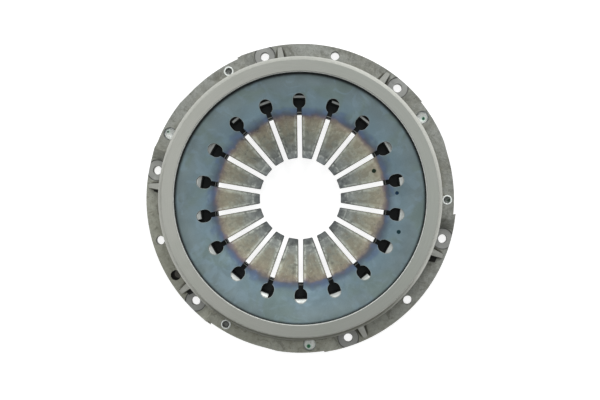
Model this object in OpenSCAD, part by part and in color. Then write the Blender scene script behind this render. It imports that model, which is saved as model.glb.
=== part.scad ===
// Pull-type clutch cover assembly with a cast cover, for a 240 mm disc.
// It stands as it does before it is bolted on: z = 0 is the flywheel's face, +Z points to the
// gearbox and the centre line is Z. One group of bolts is centred on +Y, and everything on the
// rim repeats three times around.

/* [Clutch size] */
// Outside radius of the friction face, a little over that of the disc. All that is on the rim follows it
plate_r = 121.5; // [116:0.25:126]
// Width of the friction face, from the plate's outside to its bore
face_w = 40.5; // [38:0.25:44]
// Lift of the plate from free to fully released
lift = 4.5; // [3.5:0.1:4.8]
// Radius of the circle of the finger tips
tip_r = 38.6; // [37:0.1:42]

/* [Cover casting] */
// Height of the cover above the flywheel's face
cover_h = 48; // [46:0.5:54]
// Gap between the pressure plate and the wall around it
plate_gap = 5.5; // [4.5:0.25:7]
// Thickness of the cover's wall
wall_t = 6.8; // [5.5:0.1:7.2]
// Width of the lip inside the wall
lip_w = 8.5; // [7.5:0.25:10]
// Thickness of that lip
lip_t = 5.5; // [5:0.25:7]
// Width of the rounded shoulder between the top ring and the wall
shoulder_w = 4.3; // [3:0.1:5.5]
// Slope of that shoulder where the turned ring cuts it off
shoulder_deg = 35; // [20:1:45]
// Bevel on the inner edge of the machined ring
ring_bevel = 0.9; // [0.4:0.1:1.5]

/* [Cover flange] */
// From the circle of the bolt holes out to the flange's edge
edge_out = 8.5; // [7.5:0.25:10]
// Lean of the cast rim, in mm of radius for each mm of height
rim_draft = 0.13; // [0.05:0.01:0.15]
// Thickness of the bolt pads
pad_t = 10; // [8:0.5:12]
// Thickness of the flange over the straps
raised_t = 5.5; // [4.5:0.25:5.75]
// From the bolt circle out to a raised zone's edge, over the cover's end of a strap
raised_edge_cover = 4.2; // [3.5:0.1:6]
// The same over the lug's end of a strap
raised_edge_lug = 5.1; // [4:0.1:6]
// Angle over which that edge steps out from the one to the other
edge_step_deg = 5; // [3:0.5:8]
// Half angle of a raised strap zone
raised_deg = 24.4; // [24:0.1:25]
// Angle taken by the ramp from a raised zone down to a bolt pad
ramp_deg = 3.5; // [2.5:0.25:4.5]
// From a strap's rivet on to the side of the arch that the strap lies in
arch_end = 13; // [12:0.25:14]
// How much wider an arch is at the bottom, on each side
arch_flare = 5; // [2:0.5:6]
// Radius of the fillet where the wall meets a bolt pad
foot_fillet = 2; // [1:0.25:3]

/* [Gussets] */
// Width of a gusset at its top, against the wall
gusset_w = 6.4; // [5:0.1:7]
// Taper of each of its sides from the wall out, as an angle
gusset_taper = 12; // [5:0.5:13]
// Draft of each of its sides from the top down, as an angle
gusset_draft = 8; // [4:0.5:9]
// Angle from the middle of a bolt group to its gussets
gusset_deg = 21.4; // [20.5:0.1:21.6]
// Height of a gusset at the wall, above the pad
gusset_h = 15; // [8:0.5:20]

/* [Bolt holes] */
// From the wall out to the circle that all nine bolt holes are on
bolt_out = 8.2; // [8:0.1:9]
// Diameter of a bolt hole, for M8
bolt_hole_d = 8.4; // [8:0.1:9]
// Angle from the middle bolt of a group to the outer ones
bolt_deg = 27.7; // [27.5:0.1:28]
// Diameter of the spot face around an outer bolt hole
spot_d = 20.6; // [18:0.2:21]
// Depth of that spot face in the pad
spot_depth = 1; // [0.3:0.1:1.2]

/* [Balance hole] */
// Diameter of the balance drilling
balance_d = 9.9; // [6:0.1:10]
// Depth of the balance drilling
balance_depth = 8; // [2:0.5:8.5]
// Direction of the balance drilling
balance_deg = 225; // [223:0.5:227]

/* [Straps] */
// From the wall out to the circle that the strap rivets are on
strap_out = 5.7; // [5.4:0.1:6.2]
// Angle from the middle of a strap to its rivets
strap_deg = 17.1; // [16.5:0.1:17.3]
// Width of a strap leaf
strap_w = 14.5; // [13.5:0.5:15]
// Thickness of one leaf
leaf_t = 0.7; // [0.5:0.05:0.8]
// Fall that is left in a strap when the plate is fully released
strap_fall = 0.4; // [0:0.1:1]
// Thickness of the washer under the straps at the cover's end
washer_t = 1.2; // [0.8:0.1:2]
// Diameter of that washer
washer_d = 14.4; // [14:0.1:14.8]

/* [Rivets] */
// Diameter of a rivet's shank
rivet_d = 8; // [7:0.1:8.4]
// Bore of a cover rivet's hollow end
rivet_bore_d = 6.4; // [5:0.1:6.8]
// Depth of that bore
rivet_bore_depth = 6; // [3:0.5:8]
// Diameter of the rolled rim on top of a cover rivet
rim_d = 9.4; // [9:0.1:10]
// Height of that rolled rim
rim_h = 1.2; // [0.8:0.1:1.8]
// Diameter of a cover rivet's head, under the washer
cover_head_d = 13; // [12:0.2:13.6]
// Height of that head
cover_head_h = 2.2; // [1.5:0.1:2.5]
// Diameter of a lug rivet's flat head
lug_head_d = 11; // [10:0.1:11.4]
// Height of that flat head
lug_head_h = 2.4; // [1.5:0.1:2.6]
// Diameter of the closed end under a lug
tail_d = 12.4; // [11:0.2:13.4]
// Height of that closed end
tail_h = 2.2; // [1.5:0.1:3]
// Diameter of the access hole over a lug rivet
access_d = 12.3; // [12.1:0.1:12.8]

/* [Fulcrum ring] */
// Diameter of the wire
wire_d = 4; // [3.5:0.1:4.4]
// From the cover's opening out to the middle of the wire
wire_in = 3.5; // [3:0.1:4]
// How deep the wire sits in the lip's groove
wire_seat = 1.7; // [1:0.1:2]
// Opening between the ends of the split ring
wire_gap = 3; // [1:0.5:6]

/* [Diaphragm spring] */
// How far the spring reaches out past the middle of the wire
spring_over = 1.6; // [1:0.1:2.4]
// Thickness of the spring
spring_t = 2.8; // [2.4:0.1:3.2]
// Cone angle of the free spring
cone_deg = 10.5; // [9.5:0.25:11.5]
// Length of the bent finger tips
tip_l = 6.4; // [5:0.2:9]
// Rise of the tips from the bend, as an angle
tip_deg = 5; // [2:0.5:8]
// Number of fingers
fingers = 18; // [16:1:18]
// Angle of the first slot from +X
slot_turn = 4; // [0:0.1:20]
// Width of a slot
slot_w = 4.4; // [3:0.1:5]
// Width of the rounded window at the end of a slot
window_w = 11.8; // [10:0.1:13]
// Length of that window, along the slot
window_l = 14.1; // [13:0.1:15]
// From where the spring touches the plate's ridge in to the outer end of the windows
window_in = 0; // [-0.5:0.1:2]

/* [Pressure plate] */
// Height of the friction face before the cover is bolted down
friction_z = 5; // [4:0.25:6]
// Thickness of the plate inside the ridge
plate_t = 16; // [14:0.5:18]
// Thickness of the plate at its outer edge
edge_t = 12; // [10:0.5:14]
// From the plate's outside in to the middle of the ridge that the spring presses on
ridge_in = 20.5; // [19:0.1:22]
// Width of the ridge
ridge_w = 11; // [9:0.25:12]
// Rounding of the ridge's turned top
ridge_round = 9; // [7:0.25:12]
// Width of the six gaps in the ridge, for air
vent_w = 16; // [10:0.5:20]
// Bevel around the friction face
plate_bevel = 0.8; // [0.4:0.1:1.5]

/* [Plate lugs] */
// Width of a lug
lug_w = 19; // [17:0.5:20]
// Height of a lug's underside
lug_z = 6; // [5.5:0.1:6.5]
// Thickness of a lug
lug_t = 6; // [5:0.1:6.2]

/* [Hidden] */

$fn = 96;
// Overlap that makes a cut or a union clean
eps = 0.5;
// Gap between pieces that touch without being pressed together
slip = 0.02;
// Gap between a rivet's shank and its hole
fit = 0.05;
// Bolt groups and straps around the cover
groups = 3;
group_step = 360 / groups;
// Direction of the first bolt group and of the first strap
bolt_dir = 90;
strap_dir = bolt_dir - group_step / 2;
leaves = 3;
small_fn = 64;
shoulder_steps = 8;
fillet_steps = 5;
strap_steps = 16;
crown_steps = 10;
mouth_steps = 8;

// Radii from the plate out: gap, wall, bolts and flange. The flange and the gussets are rooted in
// the middle of the wall
wall_in_r = plate_r + plate_gap;
wall_r = wall_in_r + wall_t;
root_r = wall_r - wall_t / 2;
ring_r = wall_r - shoulder_w;
shoulder_round = shoulder_w / (1 - sin(shoulder_deg));
shoulder_z = cover_h - shoulder_round * cos(shoulder_deg);
lip_r = wall_in_r - lip_w;
bolt_r = wall_r + bolt_out;
flange_r = bolt_r + edge_out;
strap_circle_r = wall_r + strap_out;

// Straps: the lug's end lies on the lug, and the cover's end hangs under the raised zone
pack_t = leaves * leaf_t;
lug_top = lug_z + lug_t;
strap_drop = lift + strap_fall;
seat_z = lug_top + pack_t + strap_drop;
raised_z = seat_z + raised_t;
ramp_mid_deg = raised_deg + ramp_deg / 2;
strap_half = strap_circle_r * sin(strap_deg);
strap_line_r = strap_circle_r * cos(strap_deg);
strap_hole_d = rivet_d + 2 * fit;
// Flat length at each end of a strap, from its rivet
strap_flat = washer_d / 2;
arch_w = strap_half + arch_end;

// Fulcrum ring, in a groove of the lip
lip_z = cover_h - lip_t;
wire_r = lip_r + wire_in;
wire_z = lip_z - wire_seat + wire_d / 2;

// Diaphragm spring: height of its top face where it meets the wire
spring_r = wire_r + spring_over;
bend_r = tip_r + tip_l;
spring_slope = tan(cone_deg);
spring_top_at_wire = wire_z - (wire_d / 2 + slip) / cos(cone_deg);
spring_rise = spring_t / cos(cone_deg);
tip_rise = spring_t / cos(tip_deg);

// Pressure plate, with its ridge up to the spring
bore_r = plate_r - face_w;
ridge_r = plate_r - ridge_in;
contact_r = ridge_r - ridge_round * sin(cone_deg);
window_out_r = contact_r - window_in;
window_in_r = window_out_r - window_l;
plate_top = friction_z + plate_t;
edge_top = friction_z + edge_t;
crown_z = under_spring(ridge_r) - (ridge_round + slip) / cos(cone_deg);
crown_deg = asin(ridge_w / 2 / ridge_round);
foot_out = 3;
foot_in = 1.5;

// Lugs of the plate, as wide at their end as a strap
lug_end_r = strap_w / 2;
lug_root_r = plate_r - 3;
lug_neck = 3;
lug_fillet = 5;

// Small bevels of the rivets
cover_head_bevel = 1;
lug_head_bevel = 0.6;
tail_bevel = 1.2;
bore_cone = 1;

function top_of_spring(r) = spring_top_at_wire - (wire_r - r) * spring_slope;
function under_spring(r) = top_of_spring(r) - spring_rise;
function arc_points(c, r, from, to, steps) = [
    for (i = [0:steps])
        let (a = from + (to - from) * i / steps)
        c + r * [cos(a), sin(a)]
];
// Height of a strap's top face at a distance from its middle, from 0 at the lug to 1 at the cover
function ease(t) = t * t * (3 - 2 * t);
function strap_part(x) = ease(min(1, max(0, 0.5 - x / (2 * (strap_half - strap_flat)))));

// Puts a child at each of the three groups, from the first direction on
module around(first) {
    for (i = [0:groups - 1])
        rotate([0, 0, first + i * group_step])
            children();
}

// A sector of a solid of revolution, centred on +X, drawn from its profile
module sector(half_deg) {
    rotate([0, 0, -half_deg])
        rotate_extrude(angle = 2 * half_deg)
            children();
}

// Everything that the drafted outer rim of the flange leaves
module rim_envelope() {
    rotate_extrude()
        polygon([
            [root_r, -eps],
            [flange_r, -eps],
            [flange_r, pad_t / 2],
            [flange_r - rim_draft * (cover_h - pad_t / 2), cover_h],
            [root_r, cover_h]
        ]);
}

module wall_profile() {
    polygon(concat(
        [
            [wall_in_r, 0],
            [wall_r, 0]
        ],
        arc_points([wall_r - shoulder_round, shoulder_z], shoulder_round, 0, 90 - shoulder_deg, shoulder_steps),
        [
            [lip_r + ring_bevel, cover_h],
            [lip_r, cover_h - ring_bevel],
            [lip_r, lip_z],
            [wall_in_r, lip_z]
        ]
    ));
}

// Concave fillet on top of a bolt pad, against the wall
module foot_fillet_profile() {
    polygon(concat(
        [
            [wall_r - eps, pad_t - eps],
            [wall_r + foot_fillet, pad_t - eps]
        ],
        arc_points([wall_r + foot_fillet, pad_t + foot_fillet], foot_fillet, 270, 180, fillet_steps),
        [[wall_r - eps, pad_t + foot_fillet]]
    ));
}

// Ramp from a bolt pad up to a raised zone, beside the strap's +Y end
module ramp() {
    w = 2 * flange_r * tan(ramp_deg / 2);
    into = 2;
    rotate([0, 0, ramp_mid_deg])
        rotate([90, 0, 90])
            linear_extrude(height = flange_r + eps)
                polygon([
                    [-w / 2 - into, pad_t - eps],
                    [-w / 2 - into, raised_z],
                    [-w / 2, raised_z],
                    [w / 2, pad_t],
                    [w / 2, pad_t - eps]
                ]);
}

// Brings a raised zone's outer edge in from the rim of the bolt pads
module raised_edge_cut() {
    past_deg = raised_deg + 1;
    deep = 2 * edge_out;
    cover_side = bolt_r + raised_edge_cover;
    lug_side = bolt_r + raised_edge_lug;
    sector(past_deg)
        translate([lug_side, -eps])
            square([deep, cover_h]);
    rotate([0, 0, -past_deg / 2])
        sector(past_deg / 2)
            translate([cover_side, -eps])
                square([deep, cover_h]);
    translate([0, 0, -eps])
        linear_extrude(height = cover_h)
            polygon([
                [cover_side, -eps],
                [flange_r, -eps],
                [flange_r, lug_side * sin(edge_step_deg)],
                [lug_side * cos(edge_step_deg), lug_side * sin(edge_step_deg)],
                [cover_side, 0]
            ]);
}

module raised_zone() {
    difference() {
        sector(raised_deg)
            translate([root_r - eps, 0])
                square([flange_r + 2 * eps - root_r, raised_z]);
        raised_edge_cut();
    }
    for (side = [0, 1])
        mirror([0, side, 0])
            ramp();
}

// Tunnel through the wall and under a raised zone, for the straps and the plate's lug
module arch() {
    corner = 3;
    lean = arch_flare / seat_z;
    rotate([90, 0, 90])
        linear_extrude(height = flange_r + edge_out)
            polygon([
                [-arch_w - arch_flare - eps * lean, -eps],
                [-arch_w - corner * lean, seat_z - corner],
                [-arch_w + corner, seat_z],
                [arch_w - corner, seat_z],
                [arch_w + corner * lean, seat_z - corner],
                [arch_w + arch_flare + eps * lean, -eps]
            ]);
}

// A gusset along +X. Its sides lean in from the pad up and close in from the wall out
module gusset() {
    toe_r = flange_r - rim_draft * pad_t - 1;
    toe_h = 2;
    root = 2;
    blank = 3 * gusset_w;
    difference() {
        rotate([90, 0, 0])
            translate([0, 0, -blank / 2])
                linear_extrude(height = blank)
                    polygon([
                        [wall_r - root, pad_t - eps],
                        [wall_r - root, pad_t + gusset_h],
                        [wall_r, pad_t + gusset_h],
                        [toe_r - toe_h / 2, pad_t + toe_h],
                        [toe_r, pad_t - eps]
                    ]);
        for (side = [0, 1])
            mirror([0, side, 0])
                translate([wall_r, gusset_w / 2, pad_t + gusset_h])
                    rotate([gusset_draft, 0, -gusset_taper])
                        translate([-blank, 0, -2 * blank])
                            cube([4 * blank, blank, 4 * blank]);
    }
}

// The fillet and the two gussets of one bolt group
module bolt_group_ribs() {
    sector(gusset_deg)
        foot_fillet_profile();
    for (side = [-1, 1])
        rotate([0, 0, side * gusset_deg])
            gusset();
}

// Stands a child on the bolt circle, turned from the middle of its group
module at_bolt(turn) {
    rotate([0, 0, turn])
        translate([bolt_r, 0, 0])
            children();
}

// Stands a child at a strap's rivet: side 1 is the lug's end, side -1 the cover's
module at_strap_end(side) {
    rotate([0, 0, side * strap_deg])
        translate([strap_circle_r, 0, 0])
            children();
}

module flange() {
    difference() {
        intersection() {
            union() {
                rotate_extrude()
                    translate([root_r - eps, 0])
                        square([flange_r + 2 * eps - root_r, pad_t]);
                around(strap_dir)
                    raised_zone();
            }
            rim_envelope();
        }
        around(bolt_dir)
            for (side = [-1, 1])
                at_bolt(side * bolt_deg)
                    translate([0, 0, pad_t - spot_depth])
                        cylinder(d = spot_d, h = raised_z);
    }
}

module cover() {
    color([0.57, 0.57, 0.54])
    difference() {
        union() {
            flange();
            rotate_extrude()
                wall_profile();
            around(bolt_dir)
                bolt_group_ribs();
        }
        around(strap_dir)
            arch();
        around(bolt_dir)
            for (side = [-1, 0, 1])
                at_bolt(side * bolt_deg)
                    translate([0, 0, -eps])
                        cylinder(d = bolt_hole_d, h = raised_z);
        around(strap_dir) {
            at_strap_end(-1)
                translate([0, 0, seat_z - eps])
                    cylinder(d = strap_hole_d, h = raised_t + 2 * eps);
            at_strap_end(1)
                translate([0, 0, seat_z - eps])
                    cylinder(d = access_d, h = raised_t + 2 * eps);
        }
        rotate([0, 0, balance_deg])
            translate([bolt_r, 0, pad_t - balance_depth])
                cylinder(d = balance_d, h = balance_depth + raised_z);
        rotate_extrude()
            translate([wire_r, wire_z])
                circle(d = wire_d + 2 * slip, $fn = small_fn);
    }
}

module fulcrum_ring() {
    open_deg = wire_gap / wire_r * 180 / PI;
    color([0.33, 0.35, 0.36])
    rotate([0, 0, bolt_dir + open_deg / 2])
        rotate_extrude(angle = 360 - open_deg)
            translate([wire_r, wire_z])
                circle(d = wire_d, $fn = small_fn);
}

module spring_profile() {
    bend_top = top_of_spring(bend_r);
    bend_under = bend_top - spring_rise;
    tip_up = (bend_r - tip_r) * tan(tip_deg);
    polygon([
        [spring_r, top_of_spring(spring_r)],
        [bend_r, bend_top],
        [tip_r, bend_top + tip_up],
        [tip_r, bend_top + tip_up - tip_rise],
        [bend_r, bend_under],
        [spring_r, under_spring(spring_r)]
    ]);
}

// One slot with its window, along +X
module slot_outline() {
    inner = window_in_r + window_w / 2;
    outer = window_out_r - window_w / 2;
    translate([0, -slot_w / 2])
        square([inner, slot_w]);
    for (x = [inner, outer])
        translate([x, 0])
            circle(d = window_w);
    translate([inner, -window_w / 2])
        square([outer - inner, window_w]);
}

module diaphragm_spring() {
    color([0.42, 0.49, 0.53])
    difference() {
        rotate_extrude()
            spring_profile();
        for (i = [0:fingers - 1])
            rotate([0, 0, slot_turn + i * 360 / fingers])
                linear_extrude(height = cover_h)
                    slot_outline();
    }
}

module plate_profile() {
    polygon(concat(
        [
            [bore_r, plate_top - plate_bevel],
            [bore_r, friction_z + plate_bevel],
            [bore_r + plate_bevel, friction_z],
            [plate_r - plate_bevel, friction_z],
            [plate_r, friction_z + plate_bevel],
            [plate_r, edge_top - plate_bevel],
            [plate_r - plate_bevel, edge_top],
            [ridge_r + ridge_w / 2 + foot_out, plate_top]
        ],
        arc_points([ridge_r, crown_z], ridge_round, 90 - crown_deg, 90 + crown_deg, crown_steps),
        [
            [ridge_r - ridge_w / 2 - foot_in, plate_top],
            [bore_r + plate_bevel, plate_top]
        ]
    ));
}

// A lug of the plate, along +X, with its rounded end around the rivet
module lug() {
    translate([strap_circle_r, 0, lug_z])
        cylinder(r = lug_end_r, h = lug_t);
    translate([lug_root_r, -lug_w / 2, lug_z])
        cube([strap_circle_r - lug_root_r - lug_neck, lug_w, lug_t]);
    translate([strap_circle_r - lug_neck - eps, 0, lug_z])
        linear_extrude(height = lug_t)
            polygon([
                [0, -lug_w / 2],
                [0, lug_w / 2],
                [lug_neck + eps, lug_end_r],
                [lug_neck + eps, -lug_end_r]
            ]);
    rotate([90, 0, 0])
        translate([0, 0, -lug_w / 2])
            linear_extrude(height = lug_w)
                polygon([
                    [lug_root_r, lug_top - eps],
                    [lug_root_r, edge_top - 1],
                    [plate_r, edge_top - 1],
                    [plate_r + lug_fillet, lug_top],
                    [plate_r + lug_fillet, lug_top - eps]
                ]);
}

// Gap through the ridge, along +X, down to a low step on the plate
module vent() {
    step_h = 1;
    translate([ridge_r - ridge_w, -vent_w / 2, plate_top + step_h])
        cube([2 * ridge_w, vent_w, cover_h]);
}

module pressure_plate() {
    color([0.36, 0.36, 0.35])
    difference() {
        union() {
            rotate_extrude()
                plate_profile();
            around(strap_dir + strap_deg)
                lug();
        }
        around(strap_dir)
            at_strap_end(1)
                translate([0, 0, lug_z - eps])
                    cylinder(d = strap_hole_d, h = lug_t + 2 * eps, $fn = small_fn);
        for (first = [strap_dir, bolt_dir])
            around(first)
                vent();
    }
}

// Outline of a strap from above, along Y, with the lug's rivet at +Y
module strap_outline() {
    difference() {
        union() {
            translate([-strap_w / 2, -strap_half])
                square([strap_w, 2 * strap_half]);
            for (side = [-1, 1])
                translate([0, side * strap_half])
                    circle(d = strap_w, $fn = small_fn);
        }
        for (side = [-1, 1])
            translate([0, side * strap_half])
                circle(d = strap_hole_d, $fn = small_fn);
    }
}

// Side view of one leaf, a curve between two flat ends
module leaf_side(level) {
    reach = strap_half + strap_w;
    bend = strap_half - strap_flat;
    top = lug_top + pack_t - level * leaf_t;
    xs = [for (i = [0:strap_steps]) -bend + 2 * bend * i / strap_steps];
    polygon(concat(
        [[-reach, top + strap_drop]],
        [for (x = xs) [x, top + strap_drop * strap_part(x)]],
        [[reach, top], [reach, top - leaf_t]],
        [for (i = [strap_steps:-1:0]) [xs[i], top - leaf_t + strap_drop * strap_part(xs[i])]],
        [[-reach, top - leaf_t + strap_drop]]
    ));
}

// One leaf of a strap pack: level 0 is the upper one
module leaf(strap, level) {
    color([0.62, 0.64, 0.65])
    rotate([0, 0, strap_dir + (strap - 1) * group_step])
        translate([strap_line_r, 0, 0])
            intersection() {
                linear_extrude(height = cover_h)
                    strap_outline();
                rotate([90, 0, 90])
                    translate([0, 0, -strap_w])
                        linear_extrude(height = 2 * strap_w)
                            leaf_side(level);
            }
}

module strap_washer(strap) {
    color([0.70, 0.70, 0.68])
    rotate([0, 0, strap_dir + (strap - 1) * group_step])
        at_strap_end(-1)
            translate([0, 0, seat_z - pack_t - washer_t])
                difference() {
                    cylinder(d = washer_d, h = washer_t);
                    translate([0, 0, -eps])
                        cylinder(d = strap_hole_d, h = washer_t + 2 * eps, $fn = small_fn);
                }
}

// Semi-tubular rivet: its head is under the washer and its rolled rim on the raised zone
module cover_rivet(strap) {
    under = seat_z - pack_t - washer_t;
    mouth = (rim_d - rivet_bore_d) / 4;
    color([0.80, 0.80, 0.77])
    rotate([0, 0, strap_dir + (strap - 1) * group_step])
        at_strap_end(-1)
            rotate_extrude()
                polygon(concat(
                    [
                        [0, under - cover_head_h],
                        [cover_head_d / 2 - cover_head_bevel, under - cover_head_h],
                        [cover_head_d / 2, under - cover_head_h + cover_head_bevel],
                        [cover_head_d / 2, under],
                        [rivet_d / 2, under],
                        [rivet_d / 2, raised_z],
                        [rim_d / 2, raised_z]
                    ],
                    arc_points([rim_d / 2 - mouth, raised_z + rim_h - mouth], mouth, 0, 180, mouth_steps),
                    [
                        [rivet_bore_d / 2, raised_z + rim_h - rivet_bore_depth],
                        [0, raised_z + rim_h - rivet_bore_depth - bore_cone]
                    ]
                ));
}

// Solid rivet: its flat head is on the straps and its closed end under the lug
module lug_rivet(strap) {
    on_pack = lug_top + pack_t;
    color([0.82, 0.83, 0.80])
    rotate([0, 0, strap_dir + (strap - 1) * group_step])
        at_strap_end(1)
            rotate_extrude()
                polygon([
                    [0, lug_z - tail_h],
                    [tail_d / 2 - tail_bevel, lug_z - tail_h],
                    [tail_d / 2, lug_z - tail_h + tail_bevel],
                    [tail_d / 2, lug_z],
                    [rivet_d / 2, lug_z],
                    [rivet_d / 2, on_pack],
                    [lug_head_d / 2, on_pack],
                    [lug_head_d / 2, on_pack + lug_head_h - lug_head_bevel],
                    [lug_head_d / 2 - lug_head_bevel, on_pack + lug_head_h],
                    [0, on_pack + lug_head_h]
                ]);
}

module strap_1_upper() { leaf(1, 0); }
module strap_1_middle() { leaf(1, 1); }
module strap_1_lower() { leaf(1, 2); }
module strap_2_upper() { leaf(2, 0); }
module strap_2_middle() { leaf(2, 1); }
module strap_2_lower() { leaf(2, 2); }
module strap_3_upper() { leaf(3, 0); }
module strap_3_middle() { leaf(3, 1); }
module strap_3_lower() { leaf(3, 2); }

cover();
fulcrum_ring();
diaphragm_spring();
pressure_plate();
strap_1_upper();
strap_1_middle();
strap_1_lower();
strap_2_upper();
strap_2_middle();
strap_2_lower();
strap_3_upper();
strap_3_middle();
strap_3_lower();
strap_washer(1);  // strap_washer_1
strap_washer(2);  // strap_washer_2
strap_washer(3);  // strap_washer_3
cover_rivet(1);  // cover_rivet_1
cover_rivet(2);  // cover_rivet_2
cover_rivet(3);  // cover_rivet_3
lug_rivet(1);  // lug_rivet_1
lug_rivet(2);  // lug_rivet_2
lug_rivet(3);  // lug_rivet_3
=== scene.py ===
"""Looks of a pull-type clutch cover with a cast cover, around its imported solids.

All sizes are in metres and in the frame of the solids: z = 0 is the flywheel's face, +Z points
to the gearbox, and the first group of bolts is on +Y.
"""
from math import asin, atan2, cos, pi, radians, sin, sqrt, tan

import bmesh
import bpy
from mathutils import Matrix, Vector


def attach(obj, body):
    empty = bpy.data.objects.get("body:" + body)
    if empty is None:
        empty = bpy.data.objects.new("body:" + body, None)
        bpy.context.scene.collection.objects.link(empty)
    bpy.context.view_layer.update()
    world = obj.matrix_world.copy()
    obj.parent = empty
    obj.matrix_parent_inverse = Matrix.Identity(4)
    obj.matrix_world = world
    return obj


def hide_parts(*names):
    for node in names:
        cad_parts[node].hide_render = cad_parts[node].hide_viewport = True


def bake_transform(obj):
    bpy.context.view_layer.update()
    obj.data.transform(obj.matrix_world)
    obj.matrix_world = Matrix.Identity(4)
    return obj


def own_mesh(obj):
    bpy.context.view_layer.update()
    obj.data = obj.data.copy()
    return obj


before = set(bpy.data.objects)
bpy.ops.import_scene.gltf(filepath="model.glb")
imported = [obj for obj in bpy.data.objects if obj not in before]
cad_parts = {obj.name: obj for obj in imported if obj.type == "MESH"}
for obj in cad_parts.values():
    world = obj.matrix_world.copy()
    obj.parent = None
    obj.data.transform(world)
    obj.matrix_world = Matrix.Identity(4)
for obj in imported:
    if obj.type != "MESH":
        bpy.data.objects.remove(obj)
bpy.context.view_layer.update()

MM = 0.001
GROUPS = 3
GROUP_STEP = 2 * pi / GROUPS
BOLT_DIR = pi / 2
STRAP_DIR = BOLT_DIR - GROUP_STEP / 2

# Cover casting, as in the part's source
COVER_H = 48 * MM
LIP_R = 118.5 * MM
LIP_Z = 42.5 * MM
WALL_R = 133.8 * MM
RING_R = 129.5 * MM
PAD_T = 10 * MM
RAISED_Z = 24.5 * MM
RAISED_TURN = radians(24.4)
BOLT_R = 142 * MM
BOLT_TURN = radians(27.7)
BOLT_HOLE_R = 4.2 * MM
SPOT_R = 10.3 * MM
SPOT_Z = PAD_T - 1 * MM
BALANCE_DIR = radians(225)
BALANCE_R = 4.95 * MM
GUSSET_TURN = radians(21.4)
GUSSET_FOOT = 5.3 * MM
GUSSET_TOP = 3.2 * MM
GUSSET_THINNING = 0.088
GUSSET_TAPER = radians(12)

# Straps and rivets
STRAP_R = 139.5 * MM
STRAP_TURN = radians(17.1)

# Diaphragm spring
SPRING_R = 123.6 * MM
SPRING_T = 2.8 * MM
WIRE_R = 122 * MM
WIRE_TOP_Z = 40.746 * MM
CONE = radians(10.5)
BEND_R = 45 * MM
TIP_UP = radians(5)
FINGERS = 18
FINGER_STEP = 2 * pi / FINGERS
FIRST_SLOT = radians(4)
SLOT_HALF = 2.2 * MM
WINDOW_HALF = 5.9 * MM
WINDOW_INNER = 91.16 * MM
WINDOW_OUTER = 93.46 * MM

# Pressure plate
FRICTION_Z = 5 * MM
BORE_R = 81 * MM
PLATE_R = 121.5 * MM
RIDGE_SIDE_Z = 31.95 * MM
RIDGE_SHADOW_R = 97 * MM

# Directions from the centre line: the photo's right, and those toward which heat colours and tints differ
# and light and shade are painted
PHOTO_RIGHT = radians(13.5)
HEAT_AND_LIGHT_DIR = radians(25)
BRIGHT_DIR = radians(58.5)
TOP_LIGHT_DIR = radians(103)
WARM_LIT_DIR = radians(250)
SHADE_SIDE_DIR = radians(284)

# Mesh detail
SMOOTH_TURN = radians(28)
BEVEL_TURN = radians(32)
FLAT_TURN = radians(0.4)
CAD_WELD = 0.004 * MM
WELD = 0.002 * MM
LATHE_STEPS = 60
FINGER_CHAMFER = 0.3 * MM
FINGER_COLUMNS = 6
RIM_STEPS = (1.5, 3.5, 6, 9, 12.5, 16.5, 20.5)


def srgb(r, g, b):
    """A colour in 0 to 255 as the eye reads it, turned into the linear one of a shader."""
    def line(value):
        value /= 255
        return value / 12.92 if value <= 0.04045 else ((value + 0.055) / 1.055) ** 2.4
    return (line(r), line(g), line(b), 1)


# Colours of the casting
CAST_DARK = srgb(143, 144, 136)
CAST_PALE = srgb(158, 160, 154)
CAST_WARM = srgb(150, 150, 134)
PIT = srgb(84, 84, 78)
# Painted shade on one side of the wall and shoulder
SHOULDER_SHADE = srgb(74, 76, 62)
# Painted shade at the wall's foot and beside the gussets
FOOT_SHADE = srgb(78, 76, 62)
OLIVE_STAIN = srgb(120, 116, 94)
BROWN_STAIN = srgb(88, 86, 74)
RING_SHADED = srgb(158, 161, 154)
RING_LIT = srgb(173, 174, 166)
RING_CLOUD = srgb(158, 163, 152)
BARE_CHAMFER_SHEEN = srgb(250, 251, 245)
SPOT_FACE = srgb(156, 157, 154)
HOLE_LOW = srgb(140, 140, 134)
HOLE_SHADE = srgb(48, 48, 45)
GUSSET_CREST = srgb(168, 169, 162)
GUSSET_SHADE = srgb(48, 48, 43)
CORNER_SHADOW = srgb(26, 26, 23)
DRILLED = srgb(112, 110, 104)
DRILLED_SHADE = srgb(24, 24, 22)

# Tones of the shoulder, painted light and shade by direction, from the side away from BRIGHT_DIR, -1, to
# the side toward it, 1
SHOULDER_TONES = ((-1, 168), (-0.65, 157), (-0.3, 184), (0.3, 186), (0.75, 183), (0.93, 200), (1, 200))

# Colours of the spring. The heat colours run from the finger tips to the rim, by radius in mm. The last
# stop is darker as painted shade under the cover's lip
HEAT_COLOURS = (
    (38, 98, 102, 102), (48, 118, 122, 118), (58, 130, 133, 123), (66, 140, 141, 127),
    (72, 144, 142, 126), (75.2, 138, 132, 118), (77.6, 117, 110, 102), (79.8, 88, 90, 98),
    (82, 82, 94, 106), (85.5, 95, 113, 122), (89, 107, 128, 137), (110, 110, 125, 128),
    (124, 100, 114, 114),
)
BLUE_BLOTCH = srgb(86, 106, 140)
VIOLET = srgb(104, 90, 106)
GREEN_FILM = srgb(104, 120, 114)
PALE_BLOOM = srgb(122, 142, 152)
STRAW = srgb(108, 98, 80)
RIM_SHADE = srgb(24, 29, 29)
RUBBED_AND_SHEEN = srgb(186, 190, 182)
SLOT_EDGE = srgb(72, 72, 64)
CUT_WALL = srgb(34, 36, 34)

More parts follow.
